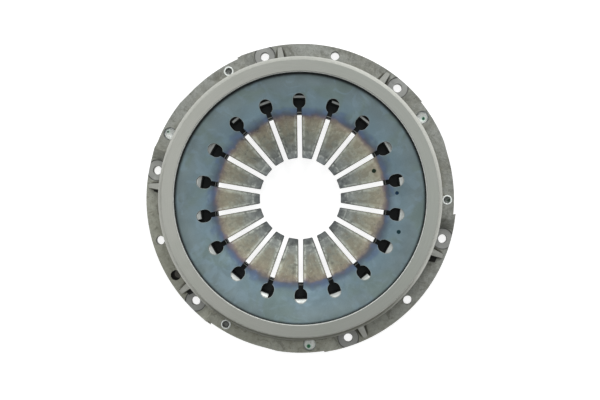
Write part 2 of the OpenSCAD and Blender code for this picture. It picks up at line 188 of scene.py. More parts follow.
# Colours of the plate, the straps and the wire
# Near black: the plate's cast skin, darkened further as painted shade where the spring hides it
PLATE_CAST_SHADED = srgb(21, 26, 26)
PLATE_TURNED = srgb(202, 206, 202)
RIDGE_SHADOW = srgb(16, 18, 17)
STRIP = srgb(150, 154, 156)
WIRE = srgb(112, 115, 117)

# Colours of the zinc plate
ZINC = srgb(240, 244, 240)
ZINC_DIRT = srgb(150, 152, 140)
ZINC_SUNK = srgb(64, 68, 62)
PAINT_HALO = srgb(150, 232, 200)

# Dabs of inspection paint: x, y and radius in mm, then the colour
PAINT_ON_SPRING = (
    (61.9, 41.5, 2.0, (24, 40, 26)), (87.7, 26.2, 1.7, (16, 44, 66)), (97.7, -9.1, 1.9, (14, 46, 52)),
)
PAINT_ON_RIVETS = (
    (137.7, 31.2, 0.9, (30, 110, 66)), (96.6, 101.9, 1.4, (10, 92, 62)),
    (40.6, -135.9, 1.7, (8, 112, 66)), (-139.2, 32.9, 0.9, (52, 60, 54)),
)


# Shader maths

class Wire:
    """The output of a node, which takes part in Python sums."""

    def __init__(self, nodes, socket):
        self.nodes = nodes
        self.socket = socket

    def __add__(self, other):
        return self.nodes.maths("ADD", self, other)

    def __sub__(self, other):
        return self.nodes.maths("SUBTRACT", self, other)

    def __rsub__(self, other):
        return self.nodes.maths("SUBTRACT", other, self)

    def __mul__(self, other):
        return self.nodes.maths("MULTIPLY", self, other)

    def __truediv__(self, other):
        return self.nodes.maths("DIVIDE", self, other)

    def __abs__(self):
        return self.nodes.maths("ABSOLUTE", self)

    __radd__ = __add__
    __rmul__ = __mul__


class Nodes:
    """A node tree, with short ways to add nodes to it."""

    def __init__(self, tree):
        self.tree = tree
        tree.nodes.clear()

    def node(self, kind, settings=None, inputs=None, out=0):
        """Adds a node, and gives one of its outputs, where it has any."""
        made = self.tree.nodes.new(kind)
        for key, value in (settings or {}).items():
            if key == "stops":
                self.set_stops(made.color_ramp, value)
            else:
                setattr(made, key, value)
        for key, value in (inputs or {}).items():
            self.feed(made.inputs[key], value)
        return Wire(self, made.outputs[out]) if made.outputs else None

    def set_stops(self, ramp, stops):
        for _ in range(len(stops) - len(ramp.elements)):
            ramp.elements.new(0.5)
        for element, (at, colour) in zip(ramp.elements, stops):
            element.position = at
            element.color = colour

    def feed(self, socket, value):
        if isinstance(value, Wire):
            self.tree.links.new(value.socket, socket)
        else:
            socket.default_value = value

    def maths(self, operation, *values):
        return self.node("ShaderNodeMath", {"operation": operation}, dict(enumerate(values)))

    def most(self, value, *others):
        for other in others:
            value = self.maths("MAXIMUM", value, other)
        return value

    def split(self, vector):
        x = self.node("ShaderNodeSeparateXYZ", {}, {0: vector})
        return [Wire(self, out) for out in x.socket.node.outputs]

    def length(self, x, y):
        flat = self.node("ShaderNodeCombineXYZ", {}, {0: x, 1: y})
        return self.node("ShaderNodeVectorMath", {"operation": "LENGTH"}, {0: flat}, out="Value")

    def step(self, value, start, end):
        """0 before start and 1 after end, smooth between. It falls where end is below start."""
        if end < start:
            return 1 - self.step(value, end, start)
        return self.node("ShaderNodeMapRange", {"interpolation_type": "SMOOTHSTEP"},
                         {"Value": value, "From Min": start, "From Max": end})

    def band(self, value, low, high, soft):
        """1 from low to high, with edges that are soft wide."""
        return self.step(value, low - soft, low) * self.step(value, high + soft, high)


class Finish(Nodes):
    """One procedural material, with the place of a point around the centre line."""

    def __init__(self, name):
        self.material = bpy.data.materials.new(name)
        self.material.use_nodes = True
        super().__init__(self.material.node_tree)
        self.place = self.node("ShaderNodeTexCoord", out="Object")
        self.x, self.y, self.z = self.split(self.place)
        self.r = self.length(self.x, self.y)
        self.turn = self.maths("ARCTAN2", self.y, self.x)

    def toward(self, turn):
        """1 on the side that lies at a turn from +X, -1 on the far side."""
        return (self.x * cos(turn) + self.y * sin(turn)) / self.r

    def noise(self, size, where=None, detail=3.0, rough=0.55, stretch=None, warp=0.0):
        """A cloudy value from 0 to 1 whose clouds are size across."""
        where = where or self.place
        if stretch:
            where = self.node("ShaderNodeVectorMath", {"operation": "MULTIPLY"}, {0: where, 1: stretch})
        return self.node("ShaderNodeTexNoise", {},
                         {"Vector": where, "Scale": 1 / size, "Detail": detail,
                          "Roughness": rough, "Distortion": warp})

    def clumps(self, size, start, end, where=None, **how):
        """1 inside the clouds of a noise and 0 between them, with an edge from start to end."""
        return self.step(self.noise(size, where, **how), start, end)

    def specks(self, size):
        """Distance from the nearest of many scattered points, in shares of size."""
        inputs = {"Vector": self.place, "Scale": 1 / size}
        return self.node("ShaderNodeTexVoronoi", {}, inputs, out="Distance")

    def turned(self, pitch):
        """Fine grooves around the centre line, a noise that runs along with the lathe."""
        wander = 6.0
        along = self.node("ShaderNodeCombineXYZ", {},
                          {0: self.r / pitch, 1: self.x / self.r * wander, 2: self.y / self.r * wander})
        return self.node("ShaderNodeTexNoise", {},
                         {"Vector": along, "Scale": 1.0, "Detail": 2.0, "Roughness": 0.6})

    def folded(self, first, step):
        """(along, across) of a point in the sector that it is in, of those centred on first."""
        half = step / 2
        inside = self.maths("FLOORED_MODULO", self.turn - first + half, step) - half
        return self.r * self.maths("COSINE", inside), self.r * self.maths("SINE", inside)

    def distance(self, along, across, x, y=0.0):
        return self.length(along - x, across - y)

    def ramp(self, value, stops):
        """A colour for each stop of the value, straight between them."""
        low, high = stops[0][0], stops[-1][0]
        share = [((at - low) / (high - low), colour) for at, colour in stops]
        inside = self.node("ShaderNodeMapRange", {}, {"Value": value, "From Min": low, "From Max": high})
        return self.node("ShaderNodeValToRGB", {"stops": share}, {0: inside}, out="Color")

    def mix(self, share, under, over, blend="MIX"):
        return self.node("ShaderNodeMix", {"data_type": "RGBA", "blend_type": blend},
                         {"Factor": share, 6: under, 7: over}, out=2)

    def shade(self, colour, value):
        """The colour made lighter or darker: value 0.5 leaves it as it is."""
        grey = self.node("ShaderNodeCombineColor", {}, {0: value * 2, 1: value * 2, 2: value * 2})
        return self.mix(1.0, colour, grey, "MULTIPLY")

    def steep(self):
        """1 on walls, 0 on faces that lie flat."""
        normal = self.node("ShaderNodeNewGeometry", out="Normal")
        return self.step(abs(self.split(normal)[2]), 0.6, 0.3)

    def shown(self, values):
        """The material, with these values on its shader."""
        shader = self.node("ShaderNodeBsdfPrincipled", {}, values)
        self.node("ShaderNodeOutputMaterial", {}, {0: shader})
        return self.material

    def wear(self, colour, rough, metal, height):
        """The material of a worn surface, whose height is in metres."""
        bump = self.node("ShaderNodeBump", {}, {"Height": height, "Distance": 1.0, "Strength": 1.0})
        return self.shown({"Base Color": colour, "Roughness": rough, "Metallic": metal, "Normal": bump})


# Finish of the cover

class CoverFinish(Finish):
    """Sand-cast iron with a turned top ring, spot faces, drillings, and painted shade in its corners."""

    def __init__(self):
        super().__init__("cast_iron_cover")
        self.sand = self.noise(1.3 * MM, detail=4.0, rough=0.65)
        self.lumps = self.noise(5 * MM)
        self.grooves = self.turned(0.22 * MM)
        self.along, self.across = self.folded(BOLT_DIR, GROUP_STEP)
        self.shoulder = (self.step(self.z, COVER_H - 11 * MM, COVER_H - 7 * MM)
                         * self.step(self.r, RING_R - 0.1 * MM, RING_R + 0.3 * MM))

    def skin(self):
        """Colour of the bare casting, with pits, painted light on one side and on the shoulder, and stains
        and painted shade.
        """
        cast = self.mix(self.clumps(22 * MM, 0.4, 0.62, detail=4.0, warp=0.6), CAST_DARK, CAST_PALE)
        # Toward WARM_LIT_DIR the casting is warmer in colour, and painted light makes it lighter there.
        warm_lit_side = self.step(self.toward(WARM_LIT_DIR), -0.1, 0.8)
        cast = self.mix(warm_lit_side * 0.5, cast, CAST_WARM)
        cast = self.shade(cast, 0.1 + self.sand * 0.43 + self.lumps * 0.37 + warm_lit_side * 0.13)
        pits = self.step(self.specks(3.4 * MM), 0.2, 0.08) * self.step(self.lumps, 0.45, 0.6)
        cast = self.mix(pits * 0.5, cast, PIT)
        # Painted light: the shoulder is lighter than the casting, with lighter and darker sides by its
        # direction.
        tones = [(at, srgb(tone, tone + 1, tone - 7)) for at, tone in SHOULDER_TONES]
        shoulder_light = self.ramp(self.toward(BRIGHT_DIR), tones)
        shoulder_light = self.shade(shoulder_light, 0.38 + self.sand * 0.14 + self.lumps * 0.1)
        return self.stained_and_shaded(self.mix(self.shoulder, cast, shoulder_light))

    def stained_and_shaded(self, cast):
        """Adds painted shade on one side of the shoulder and in the corners, and olive and brown stains.
        """
        shade_colour = self.shade(SHOULDER_SHADE, 0.3 + self.sand * 0.2 + self.lumps * 0.2)
        # Painted shade: a dark olive film toward SHADE_SIDE_DIR.
        cast = self.mix(self.shoulder_shade_share() * 0.95, cast, shade_colour)
        # Painted shade in the corners at the wall's foot and beside the gussets.
        cast = self.mix(self.foot_shade_share() * 0.75, cast, FOOT_SHADE)
        olive = self.step(self.r, WALL_R + 9 * MM, WALL_R) * self.step(self.z, 36 * MM, 28 * MM)
        olive = olive * self.clumps(11 * MM, 0.46, 0.64, detail=4.0)
        cast = self.mix(olive * 0.4, cast, OLIVE_STAIN)
        brown = self.clumps(9 * MM, 0.54, 0.68, detail=4.0, warp=1.0)
        brown = brown * self.step(self.r, WALL_R, WALL_R + 2 * MM)
        return self.mix(brown * 0.4, cast, BROWN_STAIN)

    def shoulder_shade_share(self):
        """1 where shade is painted as a dark olive film on one side of the wall and shoulder."""
        share = self.toward(SHADE_SIDE_DIR) + (self.noise(16 * MM) - 0.5) * 0.16
        below_ring = self.step(self.z, COVER_H - 0.4 * MM, COVER_H - 1.4 * MM)
        inside = self.step(self.r, WALL_R + 3 * MM, WALL_R + 0.6 * MM)
        outside = self.step(self.r, RING_R, RING_R + 0.4 * MM)
        return self.step(share, 0.5, 0.85) * below_ring * (inside * outside)

    def foot_shade_share(self):
        """1 where shade is painted in the corners: at the wall's foot and beside the gussets, mottled by
        the lumps.
        """
        along, across = self.folded(STRAP_DIR, GROUP_STEP)
        raised = self.step(abs(across) - along * tan(RAISED_TURN), 1 * MM, 0)
        on_pads = self.band(self.z, PAD_T - 0.9 * MM, PAD_T + 1.0 * MM, 0.5 * MM) * (1 - raised)
        on_raised = self.band(self.z, RAISED_Z - 0.6 * MM, RAISED_Z + 1.4 * MM, 0.5 * MM) * raised
        foot = self.step(self.r, WALL_R + 2.6 * MM, WALL_R + 0.9 * MM)
        off, out, _ = self.gusset_offset()
        off = off - (GUSSET_FOOT - out * tan(GUSSET_TAPER))
        gusset_foot = self.band(off, -0.8 * MM, 0.7 * MM, 0.8 * MM) * self.step(out, 13 * MM, 10 * MM)
        foot_shade_amount = self.most(on_pads, on_raised) * self.most(foot, gusset_foot)
        return self.maths("MINIMUM", foot_shade_amount * (0.5 + self.lumps * 0.9), 1.0)

    def gusset_offset(self):
        """Distance from the nearest gusset's middle plane, from the wall out, and 1 or -1 for the side."""
        out = self.along * cos(GUSSET_TURN) + abs(self.across) * sin(GUSSET_TURN) - WALL_R
        off = abs(self.across) * cos(GUSSET_TURN) - self.along * sin(GUSSET_TURN)
        return abs(off), out, self.maths("SIGN", off * self.across)

    def with_gussets(self, colour):
        """Adds the rubbed tops of the gussets, their shaded sides, and a painted shadow in the lower
        corner.
        """
        off, out, hand = self.gusset_offset()
        off = off - (GUSSET_TOP - out * GUSSET_THINNING)
        over = self.step(self.z, PAD_T + 0.4 * MM, PAD_T + 0.9 * MM) * self.step(out, -0.5 * MM, 0.3 * MM)
        crest = over * self.step(off, 0.25 * MM, -0.25 * MM)
        flank = over * self.step(off, -0.1 * MM, 0.4 * MM) * self.step(off, 4 * MM, 3 * MM)
        colour = self.mix(crest * 0.85, colour, self.shade(GUSSET_CREST, 0.38 + self.sand * 0.24))
        colour = self.mix(flank * 0.9, colour, GUSSET_SHADE)
        # Painted shadow in the corner on one side of each gusset.
        return self.mix(self.corner_shadow_share(off, out, hand) * 0.95, colour, CORNER_SHADOW)

    def corner_shadow_share(self, off, out, hand):
        """1 in the painted shadow in the corner under a gusset, longer away from TOP_LIGHT_DIR, where off
        is the distance from the gusset's edge.
        """
        low = hand * self.toward(PHOTO_RIGHT) * -1.0
        deep = self.step(self.toward(TOP_LIGHT_DIR), 0.0, -0.35)
        reach = low * (4.4 + deep * 4) * MM - out * 0.12 - 0.4 * MM
        corner = self.step(off - reach, 0.3 * MM, -0.5 * MM) * self.step(off, -0.2 * MM, 0.3 * MM)
        corner = corner * self.step(low, 0.35, 0.5) * self.band(out, -1 * MM, 8.5 * MM, 1 * MM)
        return corner * self.step(self.z, PAD_T + 4 * MM, PAD_T + 1 * MM)

    def ring(self):
        """Colour of the turned faces, with fine grooves and faint greenish clouds, and painted light and
        shade by direction.
        """
        side = self.toward(PHOTO_RIGHT)
        # Painted light: lighter on the side away from PHOTO_RIGHT and at both ends of that line; painted
        # shade toward SHADE_SIDE_DIR.
        ring = self.mix(self.step(side, 1.0, -1.0), RING_SHADED, RING_LIT)
        ring = self.mix(self.clumps(30 * MM, 0.4, 0.75, detail=2.0) * 0.4, ring, RING_CLOUD)
        shade_side = self.step(self.toward(SHADE_SIDE_DIR), 0.3, 0.9)
        return self.shade(ring, 0.39 + self.grooves * 0.16 + side * side * 0.06 - shade_side * 0.035)

    def with_bolt_holes(self, colour, outer, middle, on_spot):
        """Adds the spot faces, painted shade at their edge, and the drilled walls, with painted shade on
        their upper part.
        """
        # Painted shade along the inner edge of each spot face.
        spot_wall = self.band(outer, SPOT_R - 0.7 * MM, SPOT_R + 0.1 * MM, 0.25 * MM)
        spot_wall = spot_wall * self.band(self.z, SPOT_Z - 0.2 * MM, PAD_T - 0.1 * MM, 0.3 * MM)
        drilled = self.step(self.maths("MINIMUM", outer, middle), BOLT_HOLE_R + 0.15 * MM, BOLT_HOLE_R)
        colour = self.mix(on_spot * 0.85, colour, self.shade(SPOT_FACE, 0.4 + self.sand * 0.2))
        # Painted shade: the drilled walls are dark at the top and lighter below.
        hole = self.mix(self.step(self.z, 5 * MM, 8 * MM), HOLE_LOW, HOLE_SHADE)
        return self.mix(spot_wall * 0.7, self.mix(drilled * 0.95, colour, hole), HOLE_SHADE)

    def with_balance_hole(self, colour):
        """Adds the balance drilling, with a lighter floor and a dark crescent of painted shade."""
        x, y = BOLT_R * cos(BALANCE_DIR), BOLT_R * sin(BALANCE_DIR)
        inside = self.step(self.distance(self.x, self.y, x, y), BALANCE_R + 0.2 * MM, BALANCE_R - 0.1 * MM)
        # Painted shade: the floor is dark outside a disc set off toward one side.
        lit_floor_distance = self.distance(self.x, self.y, x + 1.5 * MM, y + 1.5 * MM)
        floor = self.shade(DRILLED, 0.32 + self.sand * 0.4)
        drilling = self.mix(self.step(lit_floor_distance, 4.3 * MM, 3.7 * MM), DRILLED_SHADE, floor)
        return self.mix(inside * self.step(self.z, PAD_T, PAD_T - 0.6 * MM) * 0.95, colour, drilling)


def cast_cover():
    f = CoverFinish()
    outer = f.distance(f.along, abs(f.across), BOLT_R * cos(BOLT_TURN), BOLT_R * sin(BOLT_TURN))
    middle = f.distance(f.along, f.across, BOLT_R)
    on_spot = (f.step(outer, SPOT_R + 0.1 * MM, SPOT_R)
               * f.band(f.z, SPOT_Z - 0.2 * MM, PAD_T - 0.2 * MM, 0.2 * MM))
    on_ring = (f.step(f.z, COVER_H - 0.6 * MM, COVER_H - 0.3 * MM)
               * f.step(f.r, RING_R + 0.3 * MM, RING_R - 0.1 * MM))
    on_lip = f.step(f.r, LIP_R + 0.6 * MM, LIP_R + 0.2 * MM)
    machined = f.most(on_ring, on_lip, f.step(f.z, 0.3 * MM, 0.1 * MM))
    # The lip's inner chamfer is bare machined steel, painted near white and without metal as a painted
    # highlight all round.
    chamfer = on_lip * f.step(f.z, LIP_Z + 3 * MM, LIP_Z + 4 * MM)
    colour = f.with_gussets(f.with_bolt_holes(f.skin(), outer, middle, on_spot))
    colour = f.mix(machined, colour, f.ring())
    colour = f.with_balance_hole(f.mix(chamfer, colour, BARE_CHAMFER_SHEEN))
    smooth = f.most(machined, on_spot)
    rough = 0.58 - smooth * 0.12 - f.shoulder * 0.14 + f.sand * 0.1
    height = (f.sand * 0.2 * MM + f.lumps * 0.3 * MM) * (1 - smooth) + f.grooves * 0.012 * MM * on_ring
    return f.wear(colour, rough, (0.6 - smooth * 0.3) * (1 - chamfer), height)


# Finish of the spring

class SpringFinish(Finish):
    """Tempered steel: heat colours by radius, fingers that are scuffed and rubbed at their edges, and
    painted highlights, light and shade.
    """

    def __init__(self):
        super().__init__("tempered_spring")
        self.fine = self.noise(4 * MM) - 0.5
        self.clouds = self.noise(20 * MM, detail=4.0, warp=0.5)
        self.peen = self.noise(1.1 * MM, detail=2.0)
        self.spots = self.noise(3.4 * MM, detail=4.0, rough=0.65)
        self.scuffs = self.noise(8 * MM, warp=1.0)
        self.along, self.across = self.folded(FIRST_SLOT, FINGER_STEP)
        self.beside = abs(self.across) - SLOT_HALF
        self.on_finger = self.step(self.r, 82 * MM, 77 * MM)
        self.lengthwise = self.node("ShaderNodeCombineXYZ", {},
                                    {0: self.r / 14, 1: self.across, 2: self.turn * 0.05})
        self.side = self.toward(HEAT_AND_LIGHT_DIR)
        self.hot_and_lit = self.step(self.toward(BRIGHT_DIR), 0.72, 0.98)

    def heat(self):
        """Colours of tempering: grey tips, straw fingers, a violet and blue line, and a blue-grey rim."""
        sway = self.noise(15 * MM) - 0.5
        shade_side = self.step(self.toward(SHADE_SIDE_DIR), 0.4, 0.95)
        wider = self.side * self.side * 2.2 + self.side * 0.5 - 0.6 + shade_side * 1.4 + self.hot_and_lit * 1.6
        r = self.r - wider * MM + sway * 9 * MM + self.fine * 1.2 * MM
        heat = self.ramp(r, [(at * MM, srgb(*rgb)) for at, *rgb in HEAT_COLOURS])
        blotch = self.band(r, 80 * MM, 86 * MM, 2.5 * MM) * self.clumps(11 * MM, 0.46, 0.62, detail=1.0)
        heat = self.mix(blotch * 0.4, heat, BLUE_BLOTCH)
        violet = self.band(r, 76.5 * MM, 80 * MM, 1.5 * MM) * self.clumps(13 * MM, 0.5, 0.65, detail=2.0)
        heat = self.mix(violet * 0.35, heat, VIOLET)
        patch = self.clumps(34 * MM, 0.46, 0.6, warp=0.8) * self.step(self.r, 84 * MM, 90 * MM)
        heat = self.mix(patch * 0.55, heat, GREEN_FILM)
        bloom = self.clumps(17 * MM, 0.5, 0.66, warp=1.2) * self.step(self.r, 82 * MM, 88 * MM)
        return self.mix(bloom * 0.45, heat, PALE_BLOOM)

    def tone(self):
        """How light the steel is: 0.5 leaves a colour as it is. It holds painted light and shade by
        direction.
        """
        streaks = self.noise(1.4 * MM, self.lengthwise)
        marks = (self.spots - 0.5) * 0.55 + (self.scuffs - 0.5) * 0.95 + (streaks - 0.5) * 0.2
        # Painted light: fingers lighter along the line of HEAT_AND_LIGHT_DIR and toward BRIGHT_DIR.
        lit = self.side * self.side * 0.15 + self.side * 0.04 + self.hot_and_lit * 0.05
        fingers = self.on_finger * marks + self.on_finger * self.step(self.r, 40 * MM, 52 * MM) * lit
        # Painted light outside the fingers toward TOP_LIGHT_DIR.
        painted_lit_side = (1 - self.on_finger) * self.step(self.toward(TOP_LIGHT_DIR), 0.1, 0.9) * 0.05
        # Painted shade on the rim away from BRIGHT_DIR.
        painted_shaded_rim = self.step(self.r, 110 * MM, 119 * MM) * self.step(self.toward(BRIGHT_DIR), 0.3, -0.7)
        return 0.32 + self.clouds * 0.32 + self.peen * 0.1 + fingers + painted_lit_side - painted_shaded_rim * 0.06

    def rubbed_and_sheen_share(self):
        """How bright the steel is: rubbed and painted as a highlight beside the slots, painted highlights
        round the windows and at the bend, and rubbed in scratches and flecks.
        """
        # Beside the slots: rubbed, and painted as a highlight along the finger's edge.
        slot_wear_and_sheen = self.band(self.beside, 1.3 * MM, 2.2 * MM, 0.5 * MM) * self.step(self.spots, 0.4, 0.56)
        slot_wear_and_sheen = slot_wear_and_sheen * self.band(self.r, 45 * MM, 76 * MM, 4 * MM)
        nearest = self.maths("MINIMUM", self.most(self.along, WINDOW_INNER), WINDOW_OUTER)
        window = self.distance(self.along, self.across, nearest) - WINDOW_HALF
        # Painted highlights round the windows and along the bend.
        rim = self.step(window, 0.8 * MM, 0.2 * MM)
        bend = self.band(self.r, BEND_R - 0.4 * MM, BEND_R + 0.6 * MM, 0.5 * MM)
        bend = bend * self.step(self.scuffs, 0.45, 0.6)
        scratch = self.clumps(1.1 * MM, 0.7, 0.78, self.lengthwise, detail=1.0)
        scratch = scratch * self.step(self.scuffs, 0.5, 0.6) * self.on_finger
        flecks = self.clumps(4.5 * MM, 0.6, 0.68, warp=1.5)
        flecks = flecks * self.step(self.spots, 0.48, 0.58) * self.on_finger
        return self.most(slot_wear_and_sheen * 0.55, rim * 0.4, bend * 0.3, scratch * 0.5, flecks * 0.32)

    def with_shades(self, colour):
        """Darkens the edges of the slots and the walls of the cut, and adds the dabs of paint."""
        slot_edge = self.step(self.beside, 0.85 * MM, 0.3 * MM) * self.on_finger
        colour = self.mix(slot_edge * 0.55, colour, SLOT_EDGE)
        colour = self.mix(self.steep() * (0.9 - self.on_finger * 0.35), colour, CUT_WALL)
        for x, y, size, tint in PAINT_ON_SPRING:
            dab = self.distance(self.x, self.y, x * MM, y * MM) + self.fine * 0.8 * MM
            dab = self.step(dab, size * MM + 0.4 * MM, size * MM - 0.3 * MM)
            colour = self.mix(dab, colour, srgb(*tint))
        return colour


def tempered_spring():
    f = SpringFinish()
    heat = f.shade(f.heat(), f.tone())
    core = f.step(f.beside, 2.5 * MM, 5 * MM) * f.band(f.r, 56 * MM, 75 * MM, 5 * MM)
    heat = f.mix(core * f.step(f.scuffs, 0.4, 0.56) * 0.5, heat, STRAW)
    shaded_r = f.r + (f.fine * 0.5 + f.toward(TOP_LIGHT_DIR) * 0.55 + 0.1) * MM
    heat = f.mix(f.step(shaded_r, 115.4 * MM, 118.4 * MM), heat, RIM_SHADE)
    bright = f.rubbed_and_sheen_share()
    colour = f.with_shades(f.mix(bright, heat, RUBBED_AND_SHEEN))
    rough = 0.44 + f.peen * 0.1 - bright * 0.1 + f.on_finger * (f.spots - 0.5) * 0.2
    height = f.peen * 0.05 * MM + f.clouds * 0.1 * MM + f.spots * f.on_finger * 0.06 * MM
    return f.wear(colour, rough, 0.75, height)


# Finishes of the other pieces

def plate_iron():
    f = Finish("cast_iron_plate")
    sand = f.noise(1.5 * MM, detail=4.0)
    lumps = f.noise(8 * MM)
    # Cast skin, partly painted shade.
    cast = f.shade(PLATE_CAST_SHADED, 0.34 + sand * 0.2 + lumps * 0.12)
    grooves = f.turned(0.3 * MM)
    chatter = f.noise(1.2 * MM, detail=2.0, stretch=(1, 1, 0.2))
    turned = f.shade(PLATE_TURNED, 0.24 + grooves * 0.16 + f.turned(1.5 * MM) * 0.24 + chatter * 0.1)
    ridge = f.step(f.z, RIDGE_SIDE_Z - 0.5 * MM, RIDGE_SIDE_Z - 0.1 * MM)
    friction = (f.step(f.z, FRICTION_Z + 1.0 * MM, FRICTION_Z + 0.6 * MM)
                * f.step(f.r, PLATE_R + 0.5 * MM, PLATE_R))
    burr = f.band(f.r, BORE_R + 1.3 * MM, BORE_R + 1.8 * MM, 0.3 * MM) * f.step(f.z, 19 * MM, 20 * MM)
    machined = f.most(ridge, friction)
    # Painted shadow on the ridge's outer part, under the spring's edge, on the side toward TOP_LIGHT_DIR.
    patch = f.step(f.r, RIDGE_SHADOW_R - 0.4 * MM, RIDGE_SHADOW_R + 0.8 * MM)
    patch = patch * f.step(f.toward(TOP_LIGHT_DIR), 0.3, 0.75) * ridge
    colour = f.mix(patch, f.mix(f.most(machined, burr * 0.5), cast, turned), RIDGE_SHADOW)
    rough = 0.6 - machined * 0.22 + patch * 0.2 + sand * 0.1
    height = (sand * 0.15 * MM + lumps * 0.3 * MM) * (1 - machined) + grooves * 0.015 * MM * machined
    return f.wear(colour, rough, 0.4 + machined * 0.3, height)


def strap_steel():
    f = Finish("strap_steel")
    rolled = f.noise(3 * MM, stretch=(1, 1, 6))
    colour = f.shade(STRIP, 0.36 + rolled * 0.16 + f.noise(14 * MM) * 0.12)
    return f.wear(colour, 0.34 + rolled * 0.12, 0.85, rolled * 0.02 * MM)


def zinc(name, dabs=()):
    """Zinc plate with dirty clumps, darker between 19.2 and 25 mm up, and with dabs of inspection paint.
    """
    f = Finish(name)
    spangle = f.noise(1.4 * MM)
    colour = f.shade(ZINC, 0.4 + spangle * 0.16 + f.noise(5 * MM) * 0.12)
    colour = f.mix(f.clumps(2.2 * MM, 0.6, 0.72) * 0.4, colour, ZINC_DIRT)
    for x, y, size, tint in dabs:
        ragged = f.distance(f.x, f.y, x * MM, y * MM) + (f.noise(1.5 * MM) - 0.5) * 1.4 * MM
        colour = f.mix(f.step(ragged, size * MM + 1.6 * MM, size * MM) * 0.35, colour, PAINT_HALO)
        colour = f.mix(f.step(ragged, size * MM + 0.3 * MM, size * MM - 0.2 * MM), colour, srgb(*tint))
    sunk = f.step(f.z, 25 * MM, 24 * MM) * f.step(f.z, 19 * MM, 19.2 * MM)
    colour = f.mix(sunk * 0.8, colour, ZINC_SUNK)
    return f.wear(colour, 0.38 + spangle * 0.16, 0.25, spangle * 0.03 * MM)


def drawn_wire():
    f = Finish("wire_steel")
    drawn = f.noise(0.6 * MM)
    patch = f.noise(9 * MM)
    colour = f.shade(WIRE, 0.36 + drawn * 0.14 + patch * 0.14)
    return f.wear(colour, 0.36 + patch * 0.12, 0.85, drawn * 0.01 * MM)


def pale_floor():
    return Finish("pale_floor").shown({
        "Base Color": (0.5, 0.5, 0.5, 1), "Roughness": 0.9,
        "Emission Color": (1, 1, 1, 1), "Emission Strength": 0.8,
    })


# Meshes

def linked(name, data):
    made = bpy.data.objects.new(name, data)
    bpy.context.scene.collection.objects.link(made)
    return made


def mesh_of(name, form):
    mesh = bpy.data.meshes.new(name)
    form.to_mesh(mesh)
    form.free()
    mesh.shade_smooth()
    mesh.set_sharp_from_angle(angle=SMOOTH_TURN)
    return mesh


def settled(piece):
    """The piece with its modifiers worked into a plain mesh."""
    bpy.context.view_layer.update()
    done = piece.evaluated_get(bpy.context.evaluated_depsgraph_get())
    mesh = bpy.data.meshes.new_from_object(done)
    piece.modifiers.clear()
    piece.data = mesh
    mesh.name = piece.name
    return piece


def welded(name, nodes):
    """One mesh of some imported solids: their loose triangles joined, and flat faces made whole."""
    form = bmesh.new()
    for node in nodes:
        form.from_mesh(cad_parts[node].data)
    bmesh.ops.remove_doubles(form, verts=form.verts, dist=CAD_WELD)
    bmesh.ops.dissolve_limit(form, angle_limit=FLAT_TURN, verts=form.verts, edges=form.edges)
    return linked(name, mesh_of(name, form))


def rounded(piece, width):
    bevel = piece.modifiers.new("edges", "BEVEL")
    bevel.width = width
    bevel.segments = 2
    bevel.limit_method = "ANGLE"
    bevel.angle_limit = BEVEL_TURN
    bevel.use_clamp_overlap = True
    return settled(piece)


def lathe(profile):
    """A form turned around the centre line, from (radius, height) points in mm."""
    form = bmesh.new()
    rings = []
    for r, z in profile:
        turns = [2 * pi * i / LATHE_STEPS for i in range(LATHE_STEPS)] if r else [0.0]
        rings.append([form.verts.new((r * MM * cos(a), r * MM * sin(a), z * MM)) for a in turns])
    if profile[0][0]:
        rings.append(rings[0])
    for low, high in zip(rings, rings[1:]):
        for i in range(LATHE_STEPS):
            j = (i + 1) % LATHE_STEPS
            corners = [low[i % len(low)], low[j % len(low)], high[j % len(high)], high[i % len(high)]]
            form.faces.new(list(dict.fromkeys(corners)))
    bmesh.ops.recalc_face_normals(form, faces=form.faces)
    return form


def spring_top(r):
    """Height of the spring's upper face at a radius."""
    if r < BEND_R:
        return spring_top(BEND_R) + (BEND_R - r) * tan(TIP_UP)
    return WIRE_TOP_Z - (WIRE_R - r) * tan(CONE)


def spring_rise(r):
    """Thickness of the spring along Z at a radius."""
    return SPRING_T / cos(TIP_UP if r < BEND_R else CONE)


# Geometry Nodes

def repeat_tree():
    """A tree that stands copies of its mesh around the centre line, and its inputs by name."""
    tree = bpy.data.node_groups.new("copies_around", "GeometryNodeTree")
    tree.interface.new_socket("Mesh", in_out="INPUT", socket_type="NodeSocketGeometry")
    sockets = {}
    for name, kind in (("Count", "NodeSocketInt"), ("First turn", "NodeSocketFloat"),
                       ("Distance out", "NodeSocketFloat"), ("Weld", "NodeSocketFloat"),
                       ("Finish", "NodeSocketMaterial")):
        sockets[name] = tree.interface.new_socket(name, in_out="INPUT", socket_type=kind).identifier
    tree.interface.new_socket("Copies", in_out="OUTPUT", socket_type="NodeSocketGeometry")
    add_repeat_nodes(Nodes(tree))
    return tree, sockets


def add_repeat_nodes(g):
    def given(name):
        return g.node("NodeGroupInput", out=name)

    out = g.node("ShaderNodeCombineXYZ", {}, {"X": given("Distance out")})
    moved = g.node("GeometryNodeTransform", {}, {"Geometry": given("Mesh"), "Translation": out})
    points = g.node("GeometryNodePoints", {}, {"Count": given("Count")})
    step = g.maths("DIVIDE", 2 * pi, given("Count"))
    turn = g.maths("MULTIPLY_ADD", g.node("GeometryNodeInputIndex"), step, given("First turn"))
    spin = g.node("ShaderNodeCombineXYZ", {}, {"Z": turn})
    copies = g.node("GeometryNodeInstanceOnPoints", {},
                    {"Points": points, "Instance": moved, "Rotation": spin})
    real = g.node("GeometryNodeRealizeInstances", {}, {"Geometry": copies})
    joined = g.node("GeometryNodeMergeByDistance", {}, {"Geometry": real, "Distance": given("Weld")})
    painted = g.node("GeometryNodeSetMaterial", {}, {"Geometry": joined, "Material": given("Finish")})
    g.node("NodeGroupOutput", {}, {0: painted})


